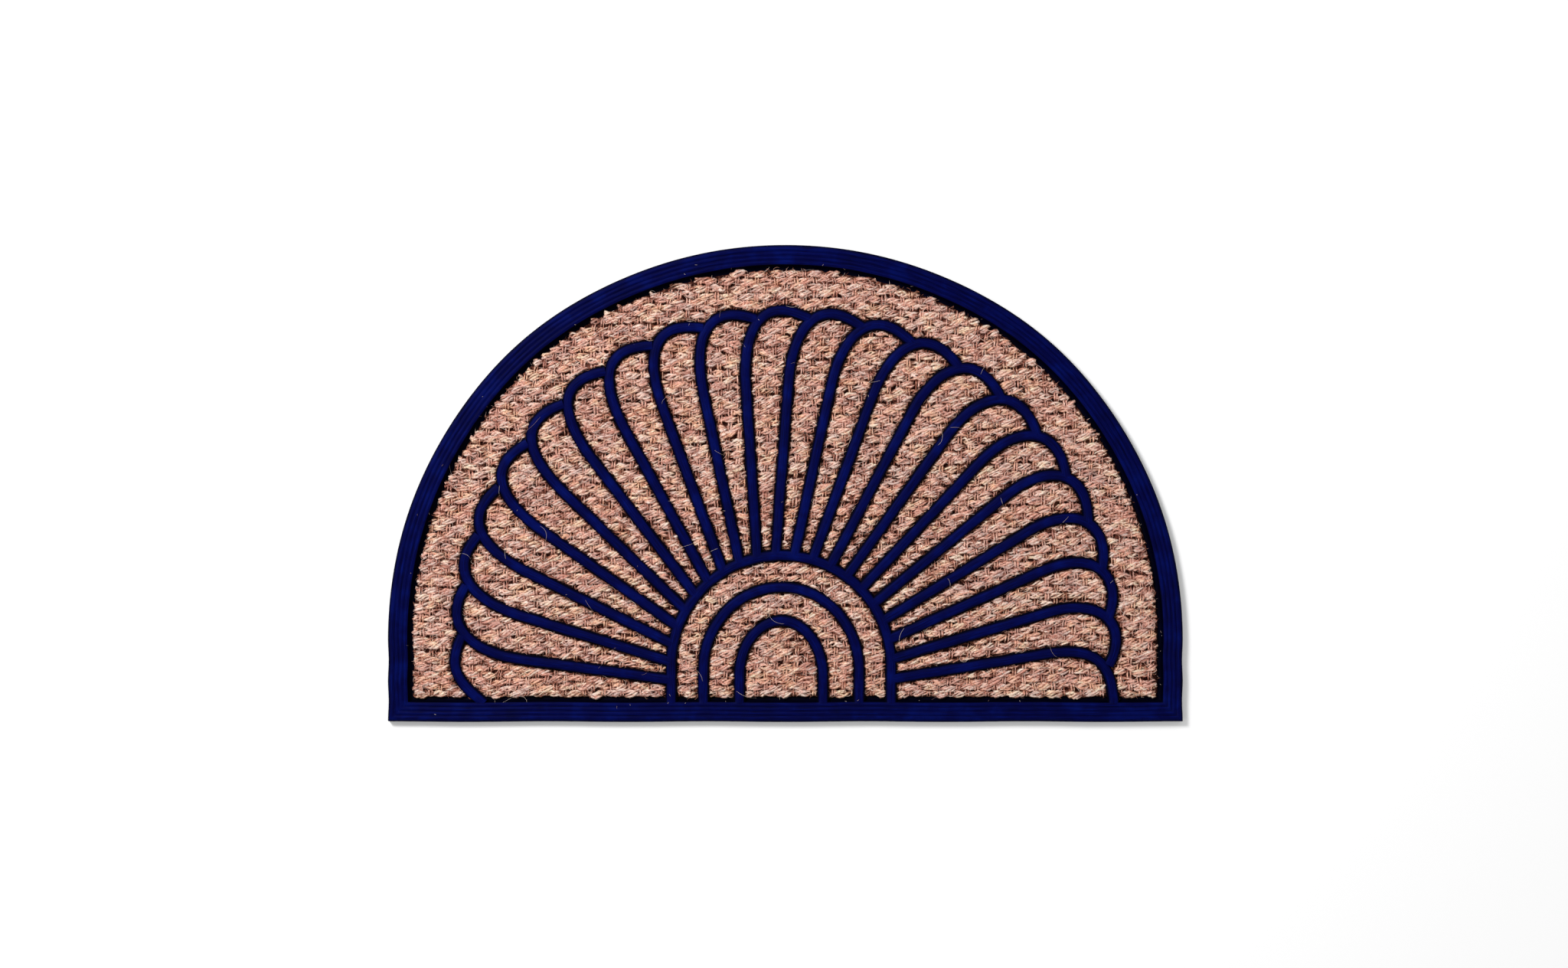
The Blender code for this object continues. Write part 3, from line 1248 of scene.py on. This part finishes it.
class NodeTree:
    """A short way to add nodes and link them."""

    def __init__(self, tree: bpy.types.NodeTree) -> None:
        """Keeps the tree that nodes are added to."""
        self.tree = tree

    def add(self, kind: str, **settings: object) -> bpy.types.Node:
        """Adds a node of this kind with these settings.

        Args:
            kind: The node's type.
            settings: Values for the node's own properties.

        Returns:
            The new node.
        """
        node = self.tree.nodes.new(kind)
        for name, value in settings.items():
            setattr(node, name, value)
        return node

    def link(self, source: Socket, target: Socket) -> None:
        """Links one socket to another."""
        self.tree.links.new(source, target)

    def maths(self, operation: str, *values: float | Socket) -> Socket:
        """Adds a maths node with these inputs, numbers or sockets, and returns its result.

        Args:
            operation: What to work out.
            values: Numbers or sockets, in order.

        Returns:
            The result's socket.
        """
        node = self.add("ShaderNodeMath", operation=operation)
        for number, value in enumerate(values):
            if isinstance(value, Socket):
                self.link(value, node.inputs[number])
            else:
                node.inputs[number].default_value = value
        return node.outputs["Value"]

    def mapped(self, kind: str, source: Socket, scale: Triple, **inputs: float) -> bpy.types.Node:
        """Adds a texture that reads a stretched coordinate.

        Args:
            kind: The texture node's kind.
            source: The coordinate socket.
            scale: How many features there are per metre along each axis.
            inputs: Values of the texture's own inputs, by name with underscores.

        Returns:
            The texture node.
        """
        mapping = self.add("ShaderNodeMapping")
        mapping.inputs["Scale"].default_value = scale
        self.link(source, mapping.inputs["Vector"])
        texture = self.add(kind)
        self.link(mapping.outputs["Vector"], texture.inputs["Vector"])
        for name, value in inputs.items():
            texture.inputs[name.replace("_", " ")].default_value = value
        return texture

    def ramp(self, source: Socket, stops: Stops) -> Socket:
        """Adds a colour ramp with these stops.

        Args:
            source: The socket that picks the colour.
            stops: Places along the ramp and their colours.

        Returns:
            The colour's socket.
        """
        node = self.add("ShaderNodeValToRGB")
        elements = node.color_ramp.elements
        while len(elements) < len(stops):
            elements.new(0.5)
        for element, (place, colour) in zip(elements, stops):
            element.position = place
            element.color = (*colour, 1.0)
        self.link(source, node.inputs["Fac"])
        return node.outputs["Color"]

    def mix(self, blend: str, share: float, first: Socket, second: Socket) -> Socket:
        """Mixes two colour sockets.

        Args:
            blend: How the second colour acts on the first.
            share: How strongly it acts.
            first: The colour underneath.
            second: The colour on top.

        Returns:
            The mixed colour's socket.
        """
        node = self.add("ShaderNodeMix", data_type="RGBA", blend_type=blend)
        node.inputs[0].default_value = share
        self.link(first, node.inputs[6])
        self.link(second, node.inputs[7])
        return node.outputs[2]

    def relief(self, height: Socket, strength: float, distance: float, normal: Socket) -> None:
        """Turns a height into a bumped normal.

        Args:
            height: How high the surface is, as a socket.
            strength: How much of the relief shows.
            distance: How far a height of 1 stands out, in metres.
            normal: The shader's own input for the normal.
        """
        bump = self.add("ShaderNodeBump")
        bump.inputs["Strength"].default_value = strength
        bump.inputs["Distance"].default_value = distance
        self.link(height, bump.inputs["Height"])
        self.link(bump.outputs["Normal"], normal)


def new_material(name: str) -> tuple[bpy.types.Material, NodeTree, bpy.types.Node]:
    """A new material, its node tree and its Principled shader.

    Args:
        name: The material's name.

    Returns:
        The material, its node tree and its shader.
    """
    material = bpy.data.materials.new(name)
    material.use_nodes = True
    tree = NodeTree(material.node_tree)
    return material, tree, material.node_tree.nodes["Principled BSDF"]


@dataclass(frozen=True)
class FibreLayer:
    """Thin bright fibres that all run about the same way."""

    angle: float
    length: float
    width: float
    warp: float
    strength: float


@dataclass(frozen=True)
class CoirFibreGroup:
    """The shader node group with the tangle of fibres that every coir material uses."""

    name: str = "coir_fibre"
    layers: tuple[FibreLayer, ...] = (
        FibreLayer(angle=6, length=0.009, width=0.00105, warp=0.7, strength=1.00),
        FibreLayer(angle=-24, length=0.007, width=0.00100, warp=0.9, strength=0.97),
        FibreLayer(angle=38, length=0.006, width=0.00105, warp=1.0, strength=0.94),
        FibreLayer(angle=82, length=0.005, width=0.00115, warp=1.0, strength=0.86),
    )
    sharpness: float = 5.5
    patch_size: tuple[float, float, float] = (0.015, 0.009, 0.02)
    # Painted shade: between these heights the coir colour darkens towards the bottom of the weave,
    # where the shadow between yarns falls. The fill noise makes the edge of that shade uneven.
    pit_shade_bottom: float = 0.0038
    pit_shade_top: float = 0.0070
    fill: float = 0.0055
    fill_waves: Triple = (190.0, 190.0, 60.0)
    tone_range: float = 0.30
    tint_share: float = 0.9
    layer_shift: tuple[float, float] = (0.013, 0.007)
    layer_height: float = 0.004
    fibre_stops: Stops = (
        (0.10, (0.110, 0.025, 0.012)),
        (0.34, (0.450, 0.128, 0.078)),
        (0.56, (0.930, 0.375, 0.258)),
        (0.78, (1.000, 0.660, 0.500)),
        (1.00, (1.000, 0.880, 0.740)),
    )
    tint_stops: Stops = (
        (0.32, (0.68, 0.58, 0.64)),
        (0.48, (0.98, 0.93, 0.98)),
        (0.68, (1.0, 0.97, 0.84)),
    )
    # Colours of the painted shade, from the bottom of the weave up to unshaded coir.
    pit_shade_stops: Stops = (
        (0.0, (0.03, 0.012, 0.010)),
        (0.45, (0.42, 0.28, 0.24)),
        (0.90, (1.0, 1.0, 1.0)),
    )

    def build(self) -> bpy.types.NodeTree:
        """Makes the group, which puts out the fibre colour and its relief.

        Returns:
            The group.
        """
        group = bpy.data.node_groups.new(self.name, "ShaderNodeTree")
        sockets = (
            ("Place", "INPUT", "NodeSocketVector"),
            ("Tone", "INPUT", "NodeSocketFloat"),
            ("Turn", "INPUT", "NodeSocketFloat"),
            ("Color", "OUTPUT", "NodeSocketColor"),
            ("Height", "OUTPUT", "NodeSocketFloat"),
        )
        for name, way, kind in sockets:
            group.interface.new_socket(name, in_out=way, socket_type=kind)
        tree = NodeTree(group)
        source, result = tree.add("NodeGroupInput"), tree.add("NodeGroupOutput")
        place = source.outputs["Place"]
        turned = tree.add("ShaderNodeVectorRotate", rotation_type="Z_AXIS")
        tree.link(place, turned.inputs["Vector"])
        tree.link(source.outputs["Turn"], turned.inputs["Angle"])
        tangle = self._tangle(tree, turned.outputs["Vector"])
        colour = self._colour(tree, place, tangle, source.outputs["Tone"])
        tree.link(colour, result.inputs["Color"])
        tree.link(tangle, result.inputs["Height"])
        return group

    def _tangle(self, tree: NodeTree, place: Socket) -> Socket:
        """Lays the layers of thin lines over each other.

        Args:
            tree: The group's nodes.
            place: The turned coordinate.

        Returns:
            How near the surface is to a fibre's middle, up to 1.
        """
        top = None
        for number, layer in enumerate(self.layers):
            mapping = tree.add("ShaderNodeMapping", vector_type="TEXTURE")
            shift_x, shift_y = self.layer_shift
            mapping.inputs["Location"].default_value = (shift_x * number, shift_y * number, 0.0)
            mapping.inputs["Rotation"].default_value = (0.0, 0.0, math.radians(layer.angle))
            mapping.inputs["Scale"].default_value = (layer.length, layer.width, self.layer_height)
            tree.link(place, mapping.inputs["Vector"])
            field_node = tree.add("ShaderNodeTexNoise")
            field_node.inputs["Scale"].default_value = 1.0
            field_node.inputs["Detail"].default_value = 1.5
            field_node.inputs["Distortion"].default_value = layer.warp
            tree.link(mapping.outputs["Vector"], field_node.inputs["Vector"])
            off = tree.maths("SUBTRACT", field_node.outputs["Fac"], 0.5)
            away = tree.maths("ABSOLUTE", off)
            fall = -self.sharpness * layer.strength
            line = tree.maths("MULTIPLY_ADD", away, fall, layer.strength)
            top = line if top is None else tree.maths("MAXIMUM", top, line)
        return tree.maths("MAXIMUM", top, 0.0)

    def _colour(self, tree: NodeTree, place: Socket, tangle: Socket, tone: Socket) -> Socket:
        """Turns the tangle into coir colours, with patches and painted shade in the low places between
        yarns.

        Args:
            tree: The group's nodes.
            place: The coordinate.
            tangle: The relief of the fibres.
            tone: The yarn's own shade.

        Returns:
            The colour's socket.
        """
        shift = tree.maths("MULTIPLY_ADD", tone, self.tone_range, -self.tone_range / 2)
        fibre = tree.ramp(tree.maths("ADD", tangle, shift), self.fibre_stops)
        mapping = tree.add("ShaderNodeMapping", vector_type="TEXTURE")
        mapping.inputs["Scale"].default_value = self.patch_size
        tree.link(place, mapping.inputs["Vector"])
        patches = tree.add("ShaderNodeTexNoise")
        patches.inputs["Scale"].default_value = 1.0
        patches.inputs["Detail"].default_value = 2.0
        tree.link(mapping.outputs["Vector"], patches.inputs["Vector"])
        tint = tree.ramp(patches.outputs["Fac"], self.tint_stops)
        body = tree.mix("MULTIPLY", self.tint_share, fibre, tint)
        # Painted shade: the colour is darkened by height, so the bed between the yarns comes out
        # nearly black.
        split = tree.add("ShaderNodeSeparateXYZ")
        tree.link(place, split.inputs["Vector"])
        filled = tree.mapped("ShaderNodeTexNoise", place, self.fill_waves, Scale=1.0, Detail=2.0)
        lift = tree.maths("MULTIPLY_ADD", filled.outputs["Fac"], self.fill, -self.fill / 2)
        depth = tree.add("ShaderNodeMapRange", clamp=True)
        depth.inputs["From Min"].default_value = self.pit_shade_bottom
        depth.inputs["From Max"].default_value = self.pit_shade_top
        tree.link(tree.maths("ADD", split.outputs["Z"], lift), depth.inputs["Value"])
        pit_shade = tree.ramp(depth.outputs["Result"], self.pit_shade_stops)
        return tree.mix("MULTIPLY", 1.0, body, pit_shade)


@dataclass(frozen=True)
class CoirFinish:
    """Dry coir fibre that runs mostly along its yarn."""

    name: str
    turn: float = 0.0
    roughness: float = 0.92
    bump: float = 1.0
    bump_depth: float = 0.0008

    def material(self, group: bpy.types.NodeTree) -> bpy.types.Material:
        """The finish as a material, given the fibre group.

        Args:
            group: The shader node group of coir fibres.

        Returns:
            The new material.
        """
        material, tree, shader = new_material(self.name)
        fibre = tree.add("ShaderNodeGroup", node_tree=group)
        place = tree.add("ShaderNodeTexCoord").outputs["Object"]
        tone = tree.add("ShaderNodeAttribute", attribute_name="tone").outputs["Fac"]
        tree.link(place, fibre.inputs["Place"])
        tree.link(tone, fibre.inputs["Tone"])
        fibre.inputs["Turn"].default_value = math.radians(self.turn)
        tree.link(fibre.outputs["Color"], shader.inputs["Base Color"])
        normal = shader.inputs["Normal"]
        tree.relief(fibre.outputs["Height"], self.bump, self.bump_depth, normal)
        shader.inputs["Roughness"].default_value = self.roughness
        shader.inputs["Specular IOR Level"].default_value = 0.08
        return material


@dataclass(frozen=True)
class FuzzFinish:
    """One loose fibre, whose shade is its own."""

    name: str
    tones: Stops
    roughness: float = 0.85
    mottle_waves: Triple = (260.0, 260.0, 260.0)
    mottle_range: float = 0.4

    def material(self) -> bpy.types.Material:
        """The finish as a material.

        Returns:
            The new material.
        """
        material, tree, shader = new_material(self.name)
        tone = tree.add("ShaderNodeAttribute", attribute_name="tone").outputs["Fac"]
        place = tree.add("ShaderNodeTexCoord").outputs["Object"]
        waves, size = self.mottle_waves, self.mottle_range
        mottle = tree.mapped("ShaderNodeTexNoise", place, waves, Scale=1.0, Detail=1.0)
        uneven = tree.maths("MULTIPLY_ADD", mottle.outputs["Fac"], size, -size / 2)
        colour = tree.ramp(tree.maths("ADD", tone, uneven), self.tones)
        tree.link(colour, shader.inputs["Base Color"])
        shader.inputs["Roughness"].default_value = self.roughness
        shader.inputs["Specular IOR Level"].default_value = 0.1
        return material


@dataclass(frozen=True)
class RubberFinish:
    """Moulded navy rubber with fine streaks along every flute and rib, and painted shade that darkens
    its low parts.
    """

    name: str = "navy_rubber"
    deep: Triple = (0.0000, 0.0001, 0.014)
    body: Triple = (0.0000, 0.0006, 0.040)
    worn: Triple = (0.0002, 0.0060, 0.120)
    # Painted shade: rubber below the rib crowns is darkened by height, down to the low share at the
    # foot.
    painted_shade_below: float = 0.0081
    painted_shade_clear_above: float = 0.0098
    low_painted_shade: Triple = (0.05, 0.05, 0.10)
    streaks: Triple = (42.0, 1500.0, 1.0)
    cloud_waves: Triple = (55.0, 55.0, 55.0)
    cloud_share: float = 0.4
    grain: Triple = (1400.0, 1400.0, 1400.0)
    grain_relief: float = 0.35
    roughness: float = 0.6
    bump: float = 0.35
    bump_depth: float = 0.0003

    def material(self) -> bpy.types.Material:
        """The finish as a material.

        Returns:
            The new material.
        """
        material, tree, shader = new_material(self.name)
        run = tree.add("ShaderNodeUVMap", uv_map="run").outputs["UV"]
        place = tree.add("ShaderNodeTexCoord").outputs["Object"]
        kind = "ShaderNodeTexNoise"
        streak = tree.mapped(kind, run, self.streaks, Scale=1.0, Detail=3.0, Roughness=0.6)
        cloud = tree.mapped(kind, place, self.cloud_waves, Scale=1.0, Detail=3.0)
        grain = tree.mapped(kind, place, self.grain, Scale=1.0, Detail=2.0)
        stops = ((0.30, self.deep), (0.50, self.body), (0.75, self.worn))
        lines = tree.ramp(streak.outputs["Fac"], stops)
        clouds = tree.ramp(cloud.outputs["Fac"], stops)
        colour = tree.mix("MIX", self.cloud_share, lines, clouds)
        # Painted shade on the rib flanks, the flash beside the ribs and the border's inner slope,
        # darker the lower the rubber lies.
        split = tree.add("ShaderNodeSeparateXYZ")
        tree.link(place, split.inputs["Vector"])
        height = tree.add("ShaderNodeMapRange", clamp=True, interpolation_type="SMOOTHSTEP")
        height.inputs["From Min"].default_value = self.painted_shade_below
        height.inputs["From Max"].default_value = self.painted_shade_clear_above
        tree.link(split.outputs["Z"], height.inputs["Value"])
        shade = tree.ramp(height.outputs["Result"], ((0.0, self.low_painted_shade), (1.0, (1.0, 1.0, 1.0))))
        tree.link(tree.mix("MULTIPLY", 1.0, colour, shade), shader.inputs["Base Color"])
        fine, coarse = grain.outputs["Fac"], streak.outputs["Fac"]
        height = tree.maths("MULTIPLY_ADD", fine, self.grain_relief, coarse)
        tree.relief(height, self.bump, self.bump_depth, shader.inputs["Normal"])
        shader.inputs["Roughness"].default_value = self.roughness
        shader.inputs["Specular IOR Level"].default_value = 0.03
        return material


@dataclass
class Studio:
    """The pale floor, the soft light and the camera straight above."""

    frame_width: float = 1.5068
    camera_height: float = 3.0
    sensor: float = 36.0
    aim: tuple[float, float] = (-0.0013, -0.0005)
    floor_size: float = 8.0
    floor_colour: Triple = (0.93, 0.93, 0.93)
    world_strength: float = 0.55
    key_place: Triple = (-1.3, 1.2, 1.9)
    key_size: float = 0.8
    key_power: float = 62.0
    fill_place: Triple = (1.6, -0.9, 2.2)
    fill_size: float = 1.4
    fill_power: float = 10.0

    def build(self) -> None:
        """Sets up everything around the mat."""
        bpy.context.scene.view_settings.view_transform = "Standard"
        self._floor()
        self._world()
        self._light("key", self.key_place, self.key_size, self.key_power)
        self._light("fill", self.fill_place, self.fill_size, self.fill_power)
        lens = bpy.data.cameras.new("camera")
        lens.sensor_width = self.sensor
        lens.lens = self.sensor * self.camera_height / self.frame_width
        camera = show("camera", lens)
        camera.location = (*self.aim, self.camera_height)
        bpy.context.scene.camera = camera

    def _floor(self) -> None:
        """A plain pale floor at the mat's underside."""
        shape = bmesh.new()
        bmesh.ops.create_grid(shape, x_segments=1, y_segments=1, size=self.floor_size / 2)
        floor = mesh_object("floor", shape)
        material, _, shader = new_material("pale_floor")
        shader.inputs["Base Color"].default_value = (*self.floor_colour, 1.0)
        shader.inputs["Roughness"].default_value = 0.9
        floor.data.materials.append(material)

    def _world(self) -> None:
        """An even white surrounding."""
        world = bpy.data.worlds.new("studio")
        world.use_nodes = True
        background = world.node_tree.nodes["Background"]
        background.inputs["Color"].default_value = (1.0, 1.0, 1.0, 1.0)
        background.inputs["Strength"].default_value = self.world_strength
        bpy.context.scene.world = world

    def _light(self, name: str, place: Triple, size: float, power: float) -> None:
        """A square soft light that looks at the mat.

        Args:
            name: The lamp's name.
            place: Where it hangs.
            size: The length of its sides.
            power: Its power in watts.
        """
        lamp = bpy.data.lights.new(name, "AREA")
        lamp.size = size
        lamp.energy = power
        light = show(name, lamp)
        light.location = place
        light.rotation_euler = (-Vector(place)).to_track_quat("-Z", "Y").to_euler()


def dress(piece: bpy.types.Object, material: bpy.types.Material) -> None:
    """Gives a piece its material and its place on the mat.

    Args:
        piece: The object to dress.
        material: Its only material.
    """
    piece.data.materials.clear()
    piece.data.materials.append(material)
    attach(piece, "root")


def main() -> None:
    """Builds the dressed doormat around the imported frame."""
    logging.basicConfig(level=logging.INFO, format="%(name)s: %(message)s")
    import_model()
    edge, fan = EdgePlan(), FanPlan()

    rubber = RubberMoulding(edge, fan).build()
    dress(rubber, RubberFinish().material())
    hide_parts("rubber_moulding")

    weave = CoirWeave(edge, fan)
    bed, weft, warp = weave.build_bed(), weave.build_weft(), weave.build_warp()
    fibres = LooseFibres(edge, fan, surface_tree([rubber, *weft, *warp])).build()
    group = CoirFibreGroup().build()
    weft_coir = CoirFinish("weft_coir").material(group)
    warp_coir = CoirFinish("warp_coir", turn=90).material(group)
    bed_coir = CoirFinish("bed_coir", turn=45).material(group)
    fuzz_coir = FuzzFinish(
        "loose_coir",
        (
            (0.00, (0.160, 0.045, 0.025)),
            (0.30, (0.520, 0.190, 0.125)),
            (0.60, (0.880, 0.440, 0.330)),
            (0.95, (1.000, 0.800, 0.690)),
        ),
    ).material()
    pale = FuzzFinish("pale_coir", ((0.1, (0.30, 0.20, 0.20)), (0.8, (0.85, 0.72, 0.66)))).material()
    for piece in weft:
        dress(piece, weft_coir)
    for piece in warp:
        dress(piece, warp_coir)
    for piece in fibres:
        loose = "stray" in piece.name or "speck" in piece.name
        dress(piece, pale if loose else fuzz_coir)
    dress(bed, bed_coir)
    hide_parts("coir_mat")
    weave.cloth_area()
    Studio().build()


if __name__ == "__main__":
    main()
